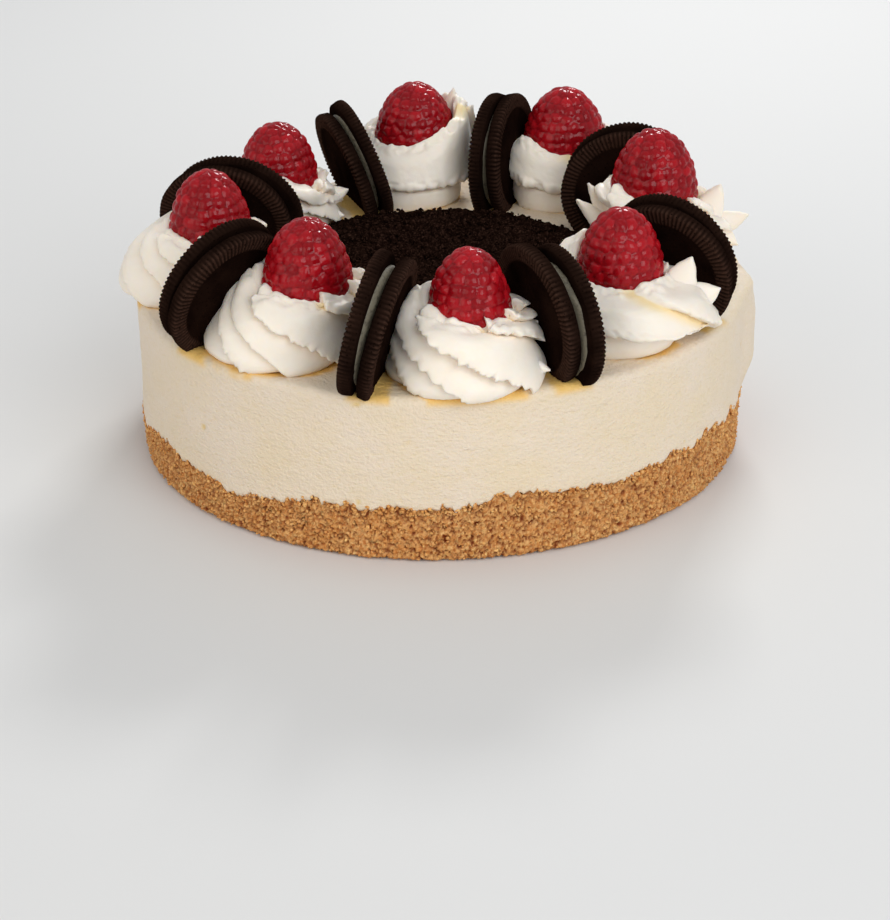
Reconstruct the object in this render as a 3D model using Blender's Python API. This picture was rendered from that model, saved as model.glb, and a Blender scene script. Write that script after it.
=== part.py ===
"""An eight inch unbaked cheesecake on a biscuit crumb base, decorated with a ring of piped cream
rosettes, raspberries and sandwich biscuits round a disc of dark biscuit crumbs.

Units are metres, +Z is up and the origin is the centre of the underside. The front is towards -Y.
Azimuths are counted anticlockwise from +X, seen from above."""

import math
import random

import bmesh
import bpy
from mathutils import Matrix, Vector

MM = 0.001
TAU = 2 * math.pi
GAP = 0.3 * MM

# Cake
CAKE_RADIUS = 101.5 * MM
CAKE_HEIGHT = 55.2 * MM
BASE_HEIGHT = 19.0 * MM
CAKE_COLUMNS = 90
UNDERSIDE_BEVEL = 1.6 * MM
BASE_RELIEF = 0.9 * MM
BOUNDARY_JITTER = 1.3 * MM
EDGE_ROUND = 2.4 * MM
INTERFACE_INSET = 12.0 * MM
SIDE_WAVE = 0.35 * MM
SWIPE_AZIMUTH = -4.0
SWIPE_HALF_WIDTH = 10.0
SWIPE_DEPTH = 3.6 * MM
# Where the crumb base comes higher or lower at the side: (azimuth in degrees, height in mm)
BASE_HEIGHTS = (
    (-172, 12.0), (-150, 17.0), (-131, 13.0), (-112, 18.5), (-92, 18.8), (-76, 23.5),
    (-60, 19.8), (-30, 20.6), (0, 19.0), (50, 17.5), (95, 20.5), (140, 18.0),
)

# Crumb topping
TOPPING_RADIUS = 55.5 * MM
TOPPING_RINGS = 13
TOPPING_DEPTH = 4.6 * MM
TOPPING_EDGE_DEPTH = 3.0 * MM
TOPPING_RELIEF = 0.9 * MM
TOPPING_EDGE_WAVE = 1.8 * MM
TOPPING_SPARE = 1.2 * MM
TOPPING_FOOT_SPREAD = 1.012

# Cream rosettes: x and y of the centre, outer radius and crest height in mm, turn in degrees, and
# whether the swirl stands on a narrower first turn
ROSETTES = (
    (-9.0, 80.5, 23.0, 20.0, 10, True),
    (45.5, 76.5, 23.0, 19.5, 35, False),
    (78.0, 18.5, 24.5, 22.0, 60, False),
    (61.0, -57.5, 25.0, 20.5, 5, True),
    (7.8, -81.0, 24.5, 20.0, 25, False),
    (-48.0, -61.0, 24.5, 20.0, 50, False),
    (-82.5, -8.0, 23.8, 20.0, 15, False),
    (-57.0, 52.5, 24.0, 19.0, 40, False),
)
ROSETTE_LOBES = 8
LOBE_SHAPE = (1.0, 0.45, -1.0, -0.1)
LOBE_DEPTH = 2.0 * MM
CREST_WIDTH = 2.2 * MM
ROSETTE_TWIST = -70.0
SEAT_SHARE = 0.9
# Outline of a rosette: share of the outer radius, share of the crest height
ROUND_PROFILE = ((0.84, 0.0), (0.98, 0.18), (1.0, 0.48), (0.92, 0.78), (0.76, 1.0))
STEPPED_PROFILE = ((0.84, 0.0), (0.85, 0.27), (1.0, 0.42), (0.94, 0.76), (0.76, 1.0))

# Raspberries: x and y of the centre, radius and height in mm
BERRIES = (
    (-8.4, 82.0, 14.8, 28.5),
    (45.2, 75.4, 14.8, 28.5),
    (72.3, 17.5, 14.6, 29.0),
    (55.5, -56.0, 13.6, 29.5),
    (8.7, -82.6, 12.6, 27.5),
    (-40.6, -62.2, 14.0, 30.0),
    (-74.5, -12.2, 13.4, 28.5),
    (-56.0, 46.2, 13.6, 26.5),
)
BERRY_SINK = 8.0 * MM
BERRY_CLEARANCE = 0.4 * MM
BERRY_COLUMNS = 18
BERRY_ROWS = 8
DRUPELET_RISE = 0.75 * MM
DRUPELET_DIP = 0.45 * MM

# Sandwich biscuits: azimuth, ring radius and height of the centre in mm, then the twist out of the
# radial line, the lean to one side and the angle by which the wafers part below, in degrees, and
# how far the far wafer has slipped up and outwards against the near one, in mm
BISCUITS = (
    (72.5, 76.0, 71.5, -3.0, -2.0, -2.0, 0.3, -2.0),
    (32.5, 77.5, 69.5, -37.0, 2.0, 1.5, 0.8, 1.0),
    (-28.0, 82.5, 73.0, -6.0, 14.0, 3.0, -0.6, -2.0),
    (-67.3, 85.6, 72.0, 4.0, 7.0, 3.5, -1.2, 4.0),
    (-102.3, 89.5, 72.5, -1.0, -13.5, 2.0, -2.0, -3.2),
    (-140.5, 87.0, 72.8, 6.0, -21.0, 2.5, 0.6, 1.5),
    (172.0, 70.3, 72.3, -2.0, -19.0, 1.0, 0.8, 2.4),
    (113.2, 77.5, 69.0, -3.0, -17.5, 0.0, -2.6, 1.5),
)
WAFER_RADIUS = 22.6 * MM
WAFER_THICKNESS = 4.4 * MM
WAFER_SPACING = 6.7 * MM
WAFER_RIM = 4.8 * MM
WAFER_CHAMFER = 1.0 * MM
WAFER_RECESS = 0.6 * MM
WAFER_SIDES = 24
SLOT_SIDES = 16
BISCUIT_CREAM_RADIUS = 19.6 * MM
BISCUIT_CREAM_SIDES = 16

SEED = 8


def clear_scene():
    for obj in list(bpy.data.objects):
        bpy.data.objects.remove(obj, do_unlink=True)


def make_material(name, colour, roughness):
    material = bpy.data.materials.new(name)
    material.use_nodes = True
    shader = material.node_tree.nodes["Principled BSDF"]
    shader.inputs["Base Color"].default_value = (*colour, 1.0)
    shader.inputs["Roughness"].default_value = roughness
    shader.inputs["Metallic"].default_value = 0.0
    return material


def add_object(name, mesh, material, matrix=None):
    obj = bpy.data.objects.new(name, mesh)
    bpy.context.scene.collection.objects.link(obj)
    if material and not mesh.materials:
        mesh.materials.append(material)
    if matrix is not None:
        obj.matrix_world = matrix
    return obj


def mesh_of(name, points, faces, smooth_angle=40.0):
    mesh = bpy.data.meshes.new(name)
    mesh.from_pydata([tuple(p) for p in points], [], faces)
    mesh.validate()
    mesh.shade_smooth()
    mesh.set_sharp_from_angle(angle=math.radians(smooth_angle))
    mesh.update()
    return mesh


def loft(name, rings, low, high, smooth_angle=40.0, diagonals="level"):
    """A closed solid through rings of equal length, given from the lowest to the highest, with a
    fan of triangles to the point low and another to the point high. The diagonals of its sides all
    run one way ("level"), take the shorter way ("short") or join every second point ("net")."""
    count = len(rings[0])
    points = [p for ring in rings for p in ring]
    faces = []
    for level in range(len(rings) - 1):
        for i in range(count):
            a, b = level * count + i, level * count + (i + 1) % count
            c, d = b + count, a + count
            turned = (i + level) % 2 == 1 if diagonals == "net" else False
            if diagonals == "short":
                turned = (points[b] - points[d]).length < (points[a] - points[c]).length
            faces += [(a, b, d), (b, c, d)] if turned else [(a, b, c), (a, c, d)]
    last = (len(rings) - 1) * count
    points += [low, high]
    for i in range(count):
        j = (i + 1) % count
        faces.append((len(points) - 2, j, i))
        faces.append((len(points) - 1, last + i, last + j))
    return mesh_of(name, points, faces, smooth_angle)


def polar(radius, angle, height, centre=(0.0, 0.0)):
    return Vector((centre[0] + radius * math.cos(angle), centre[1] + radius * math.sin(angle), height))


def ease(t):
    return (1 - math.cos(math.pi * t)) / 2


def base_height(azimuth):
    """Height of the base's upper edge at the side, eased from one measured place to the next."""
    degrees = math.degrees(azimuth)
    places = list(BASE_HEIGHTS) + [(BASE_HEIGHTS[0][0] + 360, BASE_HEIGHTS[0][1])]
    while degrees < places[0][0]:
        degrees += 360
    while degrees >= places[-1][0]:
        degrees -= 360
    for (start, low), (end, high) in zip(places, places[1:]):
        if start <= degrees <= end:
            return (low + (high - low) * ease((degrees - start) / (end - start))) * MM
    return BASE_HEIGHT


def swipe(azimuth):
    """How far the smear of filling on the right stands out of the side."""
    turn = abs((math.degrees(azimuth) - SWIPE_AZIMUTH + 180) % 360 - 180) / SWIPE_HALF_WIDTH
    return SWIPE_DEPTH * ease(1 - turn) if turn < 1 else 0.0


def cake_columns():
    rng = random.Random(SEED)
    columns = []
    for i in range(CAKE_COLUMNS):
        azimuth = i * TAU / CAKE_COLUMNS
        columns.append((azimuth, base_height(azimuth) + rng.uniform(-1, 1) * BOUNDARY_JITTER))
    return columns


def build_base(material):
    """The crumb base: a rough side and a wavy upper edge, flat underneath."""
    rng = random.Random(SEED + 1)
    columns = cake_columns()

    def rough(azimuth, height, depth=BASE_RELIEF):
        return polar(CAKE_RADIUS - BASE_RELIEF / 2 + rng.uniform(-depth, depth / 2), azimuth, height)

    rings = [[polar(CAKE_RADIUS - UNDERSIDE_BEVEL, a, 0.0) for a, _ in columns]]
    for share in (0.12, 0.5, 0.86):
        rings.append([rough(a, share * h) for a, h in columns])
    rings.append([polar(CAKE_RADIUS, a, h) for a, h in columns])
    rings.append([polar(CAKE_RADIUS - INTERFACE_INSET, a, BASE_HEIGHT) for a, _ in columns])
    mesh = loft("biscuit_base", rings, Vector((0, 0, 0)), Vector((0, 0, BASE_HEIGHT)), 25.0)
    return add_object("biscuit_base", mesh, material)


def build_filling(material, cutters):
    """The set cream cheese filling, with a rounded top edge and the slots of the biscuits."""
    columns = cake_columns()

    def side(azimuth, height, inset=0.0, share=1.0):
        wave = SIDE_WAVE * (math.sin(3 * azimuth + 1.3) + 0.6 * math.sin(7 * azimuth))
        return polar(CAKE_RADIUS + wave + share * swipe(azimuth) - inset, azimuth, height)

    middle = (BASE_HEIGHT + CAKE_HEIGHT) / 2
    # From the top down, so that its underside has the same diagonals as the base's upper side
    rings = [
        [side(a, CAKE_HEIGHT, EDGE_ROUND, 0.0) for a, _ in columns],
        [side(a, CAKE_HEIGHT - EDGE_ROUND * 0.3, EDGE_ROUND * 0.3, 0.2) for a, _ in columns],
        [side(a, CAKE_HEIGHT - EDGE_ROUND, 0.0, 0.55) for a, _ in columns],
        [side(a, middle) for a, _ in columns],
        [polar(CAKE_RADIUS, a, h + GAP) for a, h in columns],
        [polar(CAKE_RADIUS - INTERFACE_INSET, a, BASE_HEIGHT + GAP) for a, _ in columns],
    ]
    low = Vector((0, 0, BASE_HEIGHT + GAP))
    mesh = loft("cheesecake_filling", rings, Vector((0, 0, CAKE_HEIGHT)), low, 35.0)
    mesh.flip_normals()
    obj = add_object("cheesecake_filling", mesh, material)
    cut(obj, cutters)
    return obj


def clear_of_rosettes(radius, angle):
    """The radius, or the largest below it that stays off every rosette."""
    step = 0.5 * MM
    for x, y, rosette_radius, _, _, _ in ROSETTES:
        rosette = Vector((x * MM, y * MM, 0))
        clear = rosette_radius * MM + LOBE_DEPTH + TOPPING_SPARE
        while (polar(radius, angle, 0) - rosette).length < clear:
            radius -= step
    return radius


def build_topping(material, cutters):
    """The disc of dark crumbs: a hexagonal net of points, each raised or lowered by its own amount."""
    rng = random.Random(SEED + 2)
    floor = CAKE_HEIGHT + GAP
    spacing = TOPPING_RADIUS / TOPPING_RINGS
    points = [Vector((0, 0, floor + TOPPING_DEPTH))]
    for ring in range(1, TOPPING_RINGS + 1):
        share = ring / TOPPING_RINGS
        depth = TOPPING_DEPTH + (TOPPING_EDGE_DEPTH - TOPPING_DEPTH) * share**4
        for i in range(6 * ring):
            angle = i * TAU / (6 * ring)
            wave = TOPPING_EDGE_WAVE * math.sin(5 * angle) * math.sin(2 * angle + 1)
            edge = clear_of_rosettes(TOPPING_RADIUS + wave, angle)
            radius = edge * share + rng.uniform(-0.25, 0.25) * spacing
            if ring == TOPPING_RINGS:
                radius = clear_of_rosettes(radius, angle)
            angle += rng.uniform(-0.2, 0.2) * spacing / radius
            height = floor + depth + rng.uniform(-1, 1) * TOPPING_RELIEF
            points.append(polar(radius, angle, height))

    def at(ring, sextant, i):
        if ring == 0:
            return 0
        return 1 + 3 * ring * (ring - 1) + (sextant * ring + i) % (6 * ring)

    faces = []
    for ring in range(TOPPING_RINGS):
        for sextant in range(6):
            for i in range(ring + 1):
                faces.append((at(ring + 1, sextant, i), at(ring + 1, sextant, i + 1), at(ring, sextant, i)))
            for i in range(ring):
                faces.append((at(ring, sextant, i), at(ring + 1, sextant, i + 1), at(ring, sextant, i + 1)))
    edge = [at(TOPPING_RINGS, 0, i) for i in range(6 * TOPPING_RINGS)]
    foot = len(points)
    for index in edge:
        p = points[index]
        points.append(Vector((p.x * TOPPING_FOOT_SPREAD, p.y * TOPPING_FOOT_SPREAD, floor)))
    points.append(Vector((0, 0, floor)))
    for i in range(len(edge)):
        j = (i + 1) % len(edge)
        faces.append((edge[i], foot + i, foot + j))
        faces.append((edge[i], foot + j, edge[j]))
        faces.append((len(points) - 1, foot + j, foot + i))
    obj = add_object("crumb_topping", mesh_of("crumb_topping", points, faces, 20.0), material)
    cut(obj, cutters)
    return obj


def build_rosette(number, material, cutters):
    """A swirl from a star nozzle: a low dome whose ridges wind round it, with a dip for the berry."""
    rng = random.Random(SEED + 10 * number)
    x, y, radius, height, turn, stepped = ROSETTES[number]
    berry_x, berry_y, berry_radius, _ = BERRIES[number]
    centre = Vector((x * MM, y * MM))
    seat = Vector((berry_x * MM, berry_y * MM))
    radius, height, berry_radius = radius * MM, height * MM, berry_radius * MM
    count = ROSETTE_LOBES * len(LOBE_SHAPE)
    strength = [rng.uniform(0.75, 1.25) for _ in range(ROSETTE_LOBES)]
    floor = CAKE_HEIGHT + GAP
    rings = []
    for share, rise in STEPPED_PROFILE if stepped else ROUND_PROFILE:
        middle = centre.lerp(seat, rise**3)
        twist = math.radians(turn + ROSETTE_TWIST * rise)
        ring = []
        for i in range(count):
            lobe, step = divmod(i, len(LOBE_SHAPE))
            swell = strength[lobe] * LOBE_SHAPE[step] * LOBE_DEPTH * (1.0 - 0.4 * rise)
            lift = 0.0 if rise == 0 else swell * 0.35
            reach = max(share * radius, berry_radius + CREST_WIDTH if rise == 1 else 0.0)
            ring.append(polar(reach + swell, twist + i * TAU / count, floor + rise * height + lift, middle))
        rings.append(ring)
    twist = math.radians(turn + ROSETTE_TWIST)
    seat_height = floor + height - BERRY_SINK
    seat_radius = SEAT_SHARE * berry_radius
    rings.append([polar(seat_radius, twist + i * TAU / count, seat_height, seat) for i in range(count)])
    low = Vector((centre.x, centre.y, floor))
    high = Vector((seat.x, seat.y, seat_height))
    name = f"cream_rosette_{number + 1}"
    obj = add_object(name, loft(name, rings, low, high, 35.0, "short"), material)
    cut(obj, cutters)
    return obj


def berry_radius_at(share):
    """Radius of a berry at a share of its height, as a share of its largest radius."""
    shoulder = (1 - (max(0.0, share - 0.14) / 0.86) ** 2.3) ** 0.56
    foot = 1 - 0.24 * max(0.0, 1 - share / 0.22) ** 2
    return shoulder * foot


def build_berry(number, material):
    """A raspberry, opening down: a thimble whose surface rises at every second point of a net."""
    rng = random.Random(SEED + 100 + number)
    x, y, radius, height = BERRIES[number]
    centre = Vector((x * MM, y * MM))
    floor = CAKE_HEIGHT + 2 * GAP + ROSETTES[number][3] * MM - BERRY_SINK
    radius, height = radius * MM - BERRY_CLEARANCE, height * MM
    rings = []
    for row in range(BERRY_ROWS):
        share = math.sin(math.radians(72 * row / (BERRY_ROWS - 1))) if row else 0.0
        ring = []
        for i in range(BERRY_COLUMNS):
            rise = DRUPELET_RISE if (i + row) % 2 else -DRUPELET_DIP
            if row == 0:
                rise = 0.0
            rise *= rng.uniform(0.8, 1.15) * (1 - 0.4 * share)
            reach = radius * berry_radius_at(share) + rise
            ring.append(polar(reach, i * TAU / BERRY_COLUMNS, floor + share * height, centre))
        rings.append(ring)
    low = Vector((centre.x, centre.y, floor))
    high = Vector((centre.x, centre.y, floor + height))
    name = f"raspberry_{number + 1}"
    return add_object(name, loft(name, rings, low, high, 20.0, "net"), material)


def biscuit_frame(number):
    """Centre of a biscuit, and the outward, upward and thickness directions of its own."""
    azimuth, reach, height, twist, lean = BISCUITS[number][:5]
    place = polar(reach * MM, math.radians(azimuth), height * MM)
    along = polar(1.0, math.radians(azimuth + twist), 0.0)
    across = Vector((-along.y, along.x, 0.0))
    normal = across * math.cos(math.radians(lean)) + Vector((0, 0, math.sin(math.radians(lean))))
    return place, along, along.cross(normal), normal


def wafer_matrix(number, side):
    """Place of one wafer: its outer face is at +Z of its own frame."""
    place, along, up, normal = biscuit_frame(number)
    parting, slip_up, slip_out = BISCUITS[number][5:]
    outward = side * (Matrix.Rotation(-side * math.radians(parting) / 2, 3, along) @ normal)
    matrix = Matrix.Identity(4)
    for column, axis in enumerate((along, outward.cross(along), outward)):
        for row in range(3):
            matrix[row][column] = axis[row]
    shift = normal * WAFER_SPACING + (up * slip_up + along * slip_out) * MM
    matrix.translation = place + shift * (side / 2)
    return matrix


def circle(radius, height, sides):
    return [polar(radius, i * TAU / sides, height) for i in range(sides)]


def wafer_mesh():
    """A round wafer, flat inside, with a raised rim round its outer face."""
    half = WAFER_THICKNESS / 2
    rings = [
        circle(WAFER_RADIUS - WAFER_CHAMFER, -half, WAFER_SIDES),
        circle(WAFER_RADIUS, 0.0, WAFER_SIDES),
        circle(WAFER_RADIUS - WAFER_CHAMFER, half, WAFER_SIDES),
        circle(WAFER_RADIUS - WAFER_RIM, half - WAFER_RECESS, WAFER_SIDES),
    ]
    return loft("wafer", rings, Vector((0, 0, -half)), Vector((0, 0, half - WAFER_RECESS)), 30.0)


def build_biscuit(number, mesh, dark, pale):
    """Two dark wafers and the disc of cream between them, which stops short of their edges."""
    name = f"biscuit_{number + 1}"
    sheets = []
    for side, word in ((-1, "near"), (1, "far")):
        matrix = wafer_matrix(number, side)
        add_object(f"{name}_wafer_{word}", mesh, dark, matrix)
        inner = -WAFER_THICKNESS / 2 - GAP
        outline = circle(BISCUIT_CREAM_RADIUS, inner, BISCUIT_CREAM_SIDES)
        middle = matrix @ Vector((0, 0, inner))
        ring = [matrix @ p for p in outline]
        sheets.append((ring if side < 0 else [ring[-i % len(ring)] for i in range(len(ring))], middle))
    (low_ring, low), (high_ring, high) = sheets
    rings = [low_ring, matched(low_ring, high_ring)]
    mesh = loft(f"{name}_cream", rings, low, high, 30.0)
    recalculate(mesh)
    return add_object(f"{name}_cream", mesh, pale)


def matched(ring, other):
    """The points of the other ring, each the nearest to its place in the first."""
    return [min(other, key=lambda q: (q - p).length) for p in ring]


def recalculate(mesh):
    work = bmesh.new()
    work.from_mesh(mesh)
    bmesh.ops.recalc_face_normals(work, faces=work.faces)
    work.to_mesh(mesh)
    work.free()


def biscuit_cutter(number):
    """The space that a biscuit takes, a gap larger all round."""
    work = bmesh.new()
    half = WAFER_THICKNESS / 2
    for side in (-1, 1):
        matrix = wafer_matrix(number, side)
        for reach, level in ((WAFER_RADIUS - WAFER_CHAMFER, half), (WAFER_RADIUS, 0.0)):
            outer = (reach + 1.5 * GAP) / math.cos(math.pi / SLOT_SIDES)
            for p in circle(outer, level + (1.5 * GAP if level else 0.0), SLOT_SIDES):
                work.verts.new(matrix @ p)
    hull = bmesh.ops.convex_hull(work, input=work.verts)
    loose = [v for v in hull["geom_interior"] + hull["geom_unused"] if isinstance(v, bmesh.types.BMVert)]
    bmesh.ops.delete(work, geom=list(set(loose)), context="VERTS")
    bmesh.ops.recalc_face_normals(work, faces=work.faces)
    mesh = bpy.data.meshes.new(f"space_of_biscuit_{number + 1}")
    work.to_mesh(mesh)
    work.free()
    cutter = add_object(mesh.name, mesh, None)
    cutter.hide_render = True
    cutter.display_type = "WIRE"
    return cutter


def cut(obj, cutters):
    for cutter in cutters:
        modifier = obj.modifiers.new(cutter.name, "BOOLEAN")
        modifier.operation = "DIFFERENCE"
        modifier.solver = "EXACT"
        modifier.object = cutter


def main():
    clear_scene()
    crust = make_material("baked_crumb", (0.48, 0.25, 0.09), 0.85)
    filling = make_material("cheese_filling", (0.83, 0.72, 0.52), 0.6)
    crumbs = make_material("dark_crumb", (0.018, 0.012, 0.010), 0.9)
    cream = make_material("whipped_cream", (0.88, 0.82, 0.72), 0.5)
    berry = make_material("raspberry_skin", (0.38, 0.012, 0.030), 0.35)
    wafer = make_material("cocoa_wafer", (0.022, 0.014, 0.011), 0.7)
    sugar = make_material("sugar_cream", (0.55, 0.50, 0.38), 0.6)

    count = len(BISCUITS)
    cutters = [biscuit_cutter(i) for i in range(count)]
    build_base(crust)
    build_filling(filling, cutters)
    build_topping(crumbs, cutters)
    shared = wafer_mesh()
    for i in range(count):
        build_biscuit(i, shared, wafer, sugar)
        build_rosette(i, cream, (cutters[i - 1], cutters[i]))
        build_berry(i, berry)


main()
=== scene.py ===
"""Studio scene of an unbaked cheesecake: a pressed biscuit crumb base, set cream cheese filling,
a ring of piped cream rosettes with raspberries, sandwich biscuits and a disc of dark crumbs.

Lengths are metres, lists of sizes are in mm, and azimuths are degrees anticlockwise from +X."""

import math

import bmesh
import bpy
import numpy as np
from mathutils import Matrix, Vector


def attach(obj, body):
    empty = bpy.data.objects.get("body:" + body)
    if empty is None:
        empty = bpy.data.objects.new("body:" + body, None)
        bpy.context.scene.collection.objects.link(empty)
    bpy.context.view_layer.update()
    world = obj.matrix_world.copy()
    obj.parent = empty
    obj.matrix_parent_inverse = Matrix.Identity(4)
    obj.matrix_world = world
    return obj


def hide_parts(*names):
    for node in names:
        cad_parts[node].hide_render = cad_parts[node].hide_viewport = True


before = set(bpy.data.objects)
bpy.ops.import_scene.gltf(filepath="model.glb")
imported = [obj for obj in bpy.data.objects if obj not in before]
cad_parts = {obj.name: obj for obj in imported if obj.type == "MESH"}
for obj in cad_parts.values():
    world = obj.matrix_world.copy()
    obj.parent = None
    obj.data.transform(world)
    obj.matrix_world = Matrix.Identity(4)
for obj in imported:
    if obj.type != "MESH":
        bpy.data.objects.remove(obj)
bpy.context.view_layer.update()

MM = 0.001
TAU = 2 * math.pi
SEED = 5

# Cake
CAKE_RADIUS = 101.5 * MM
CAKE_HEIGHT = 55.2 * MM
BASE_HEIGHT = 19.0 * MM
EDGE_ROUND = 2.4 * MM
UNDERSIDE_BEVEL = 1.6 * MM
INTERFACE_INSET = 12.0 * MM
# The smear of filling on the right: azimuth of its middle, half its width in degrees, its depth
SWIPE = (-4.0, 10.0, 3.6 * MM)
BASE_GRID = (1300, 36)
FILLING_GRID = (640, 46)
# Grains of the pressed crumb base
LUMP = 3.4 * MM
BIT = 1.7 * MM
DUST = 0.95 * MM
HOLE = 2.6 * MM
SIDE_CRUMBS = 2300
FRINGE_SHARE = 0.45
# Strokes of the spatula on the top
STROKE = 3.1 * MM
# Where the crumb base comes higher or lower at the side: (azimuth, height)
BASE_HEIGHTS = (
    (-172, 12.0), (-150, 17.0), (-131, 13.0), (-112, 18.5), (-92, 18.8), (-76, 23.5),
    (-60, 19.8), (-30, 20.6), (-9, 20.0), (-2, 23.5), (5, 19.5), (50, 17.5), (95, 20.5),
    (140, 18.0), (188, 12.0),
)
SHELF = CAKE_HEIGHT + 0.3 * MM

# Rosettes: x, y, outer radius, crest height, and whether the swirl stands on a narrower first turn
ROSETTES = (
    (-9.0, 80.5, 23.0, 20.0, True),
    (45.5, 76.5, 23.0, 19.5, True),
    (78.0, 18.5, 24.5, 22.0, False),
    (61.0, -57.5, 25.0, 20.5, True),
    (7.8, -81.0, 24.5, 20.0, False),
    (-48.0, -61.0, 24.5, 20.0, False),
    (-82.5, -8.0, 23.8, 20.0, False),
    (-57.0, 52.5, 24.0, 19.0, False),
)
# Azimuths at which the ridges of each rosette start at its foot
RIDGES = (
    (-120, 112, 140, 168, 195, 220),
    (-140, 30, 110, 140, 170, 198),
    (-150, -100, -55, -10, 40, 95, 155),
    (-130, 35, 108, 138, 168, 198),
    (-115, -76, -24, 60, 95, 135, 185),
    (-112, -76, -33, 46, 90, 140, 195),
    (-165, -115, -65, -20, 35, 90, 145),
    (-150, -95, -45, 0, 55, 110, 160),
)
# Where the top of each rosette climbs beside its berry: azimuth, height in mm, half width in degrees
RISES = (
    ((20, 13.0, 130), (140, 4.0, 60)),
    ((10, 4.5, 75), (-150, 3.5, 50)),
    ((10, -5.0, 100),),
    ((140, 9.0, 60),),
    ((150, 4.0, 60),),
    ((150, 4.5, 60),),
    ((110, 3.0, 70),),
    ((5, -4.5, 100),),
)
# Torn flaps of each rosette: tip and root in mm from its centre on the shelf, width of the root
FLAPS = (
    (((14.7, 6, 37.0), (12.0, 4, 18.0), 10), ((21.0, 3, 31.5), (14.0, 2, 14.0), 12)),
    (((20.9, 6, 24.5), (12.0, 4, 12.0), 10),),
    (((17.0, 0, 23.4), (11.0, -2, 10.0), 11), ((27.0, 0, 12.4), (13.0, -1, 8.0), 9),
     ((23.8, 0, 1.5), (13.0, 0, 9.0), 9), ((-27.5, 2, 23.5), (-18.0, 0, 8.0), 7),
     ((-31.5, 0, 18.5), (-18.0, -2, 6.0), 7)),
    (((16.4, -1, 27.0), (10.0, -4, 13.0), 12), ((25.4, -2, 17.0), (11.0, -6, 12.0), 13),
     ((9.2, 2, 24.0), (7.0, 0, 14.0), 7), ((-27.0, 12, 22.0), (-13.0, 8, 17.0), 12)),
    (((15.4, 2, 20.5), (10.0, 0, 10.0), 8),
     ((21.7, 0, 15.8), (12.0, -3, 9.0), 10), ((24.7, -12, 4.6), (13.0, -11, 8.0), 7)),
    (),
    (),
    (((17.2, 0, 18.5), (9.0, -2, 8.0), 9), ((25.0, -1, 11.5), (12.0, -3, 7.0), 9),
     ((23.5, -6, 3.5), (12.0, -7, 5.0), 8)),
)
# Share of its outer radius that the body of each rosette reaches under its folds
BODY_SHARES = (0.93, 0.93, 0.79, 0.93, 0.93, 0.93, 0.92, 0.84)
# How far the ridges of each rosette wind from foot to crest: evenly, and more towards the crest as
# that power of the height
TWISTS = (
    (-85, -20, 10), (-95, -10, 10), (-100, -35, 10), (-100, -5, 10),
    (-94, -30, 10), (-66, -45, 4), (-90, -40, 6), (-95, -35, 10),
)
ROSETTE_ROWS = 112
FLAP_GRID = (18, 20)
LOBE_DEPTH = 2.2 * MM
LOBE_LEAN = 2.2 * MM
# Places across a ridge where it has points, and the widest that one may be, in degrees
ACROSS = (0.0, 0.014, 0.035, 0.07, 0.12, 0.20, 0.30, 0.41, 0.52, 0.63, 0.73, 0.82, 0.885, 0.925,
          0.95, 0.966, 0.979, 0.99)
WIDEST_COLUMN = 2.6
# One ridge of a rosette, from its lip to the next: place across, how far out, how far folded over
LOBE = (
    (0.00, 1.00, 1.00), (0.03, 1.08, 0.75), (0.08, 1.00, 0.35), (0.16, 0.82, 0.08),
    (0.30, 0.55, 0.0), (0.45, 0.28, 0.0), (0.60, 0.02, 0.0), (0.74, -0.26, 0.0),
    (0.85, -0.55, 0.0), (0.915, -0.85, -0.10), (0.95, -0.95, 0.0), (0.972, -0.35, 0.5),
    (0.987, 0.45, 0.9),
)
# Outline of a rosette: share of the outer radius, share of the crest height
ROUND_PROFILE = (
    (0.60, -0.05), (0.86, -0.01), (0.97, 0.04), (1.01, 0.15), (0.99, 0.33), (0.93, 0.57),
    (0.85, 0.83),
)
STEPPED_PROFILE = (
    (0.55, -0.04), (0.72, 0.00), (0.77, 0.10), (0.79, 0.26), (0.78, 0.41), (0.97, 0.425),
    (1.06, 0.45), (1.04, 0.53), (1.00, 0.68), (0.95, 0.86),
)
# Tilt of the step: azimuth of its high side, and rise there as a share of the crest height
STEP_TILTS = {0: (-150, 0.02), 1: (-165, 0.12), 3: (-170, 0.10)}
# How far the lip of the step is torn, in mm
LIP_TEARS = {0: 0.9, 1: 1.5, 3: 0.8}
# How far the first turn stands off the centre of its rosette, in mm
FIRST_TURN_SHIFTS = {0: (0.0, -3.0), 1: (-1.0, -3.0), 3: (-5.0, 0.5)}
# How the cream closes in on a berry: distance from its side in mm, share of the crest height
RIM_PROFILE = ((3.8, 0.97), (1.6, 1.03), (0.5, 1.06), (-0.5, 0.97), (-1.8, 0.76), (-5.0, 0.60))

# Raspberries: x, y, radius, height
BERRIES = (
    (-8.4, 82.0, 14.8, 28.5),
    (45.2, 75.4, 14.8, 28.5),
    (72.3, 17.5, 14.6, 29.0),
    (55.5, -56.0, 13.6, 29.5),
    (8.7, -82.6, 12.6, 27.5),
    (-40.6, -62.2, 14.0, 30.0),
    (-74.5, -12.2, 13.4, 28.5),
    (-56.0, 46.2, 13.6, 26.5),
)
BERRY_SINK = 8.0 * MM
DRUPELET = 3.9 * MM
DRUPELET_RISE = 1.05 * MM
BERRY_GRID = (112, 68)

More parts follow.
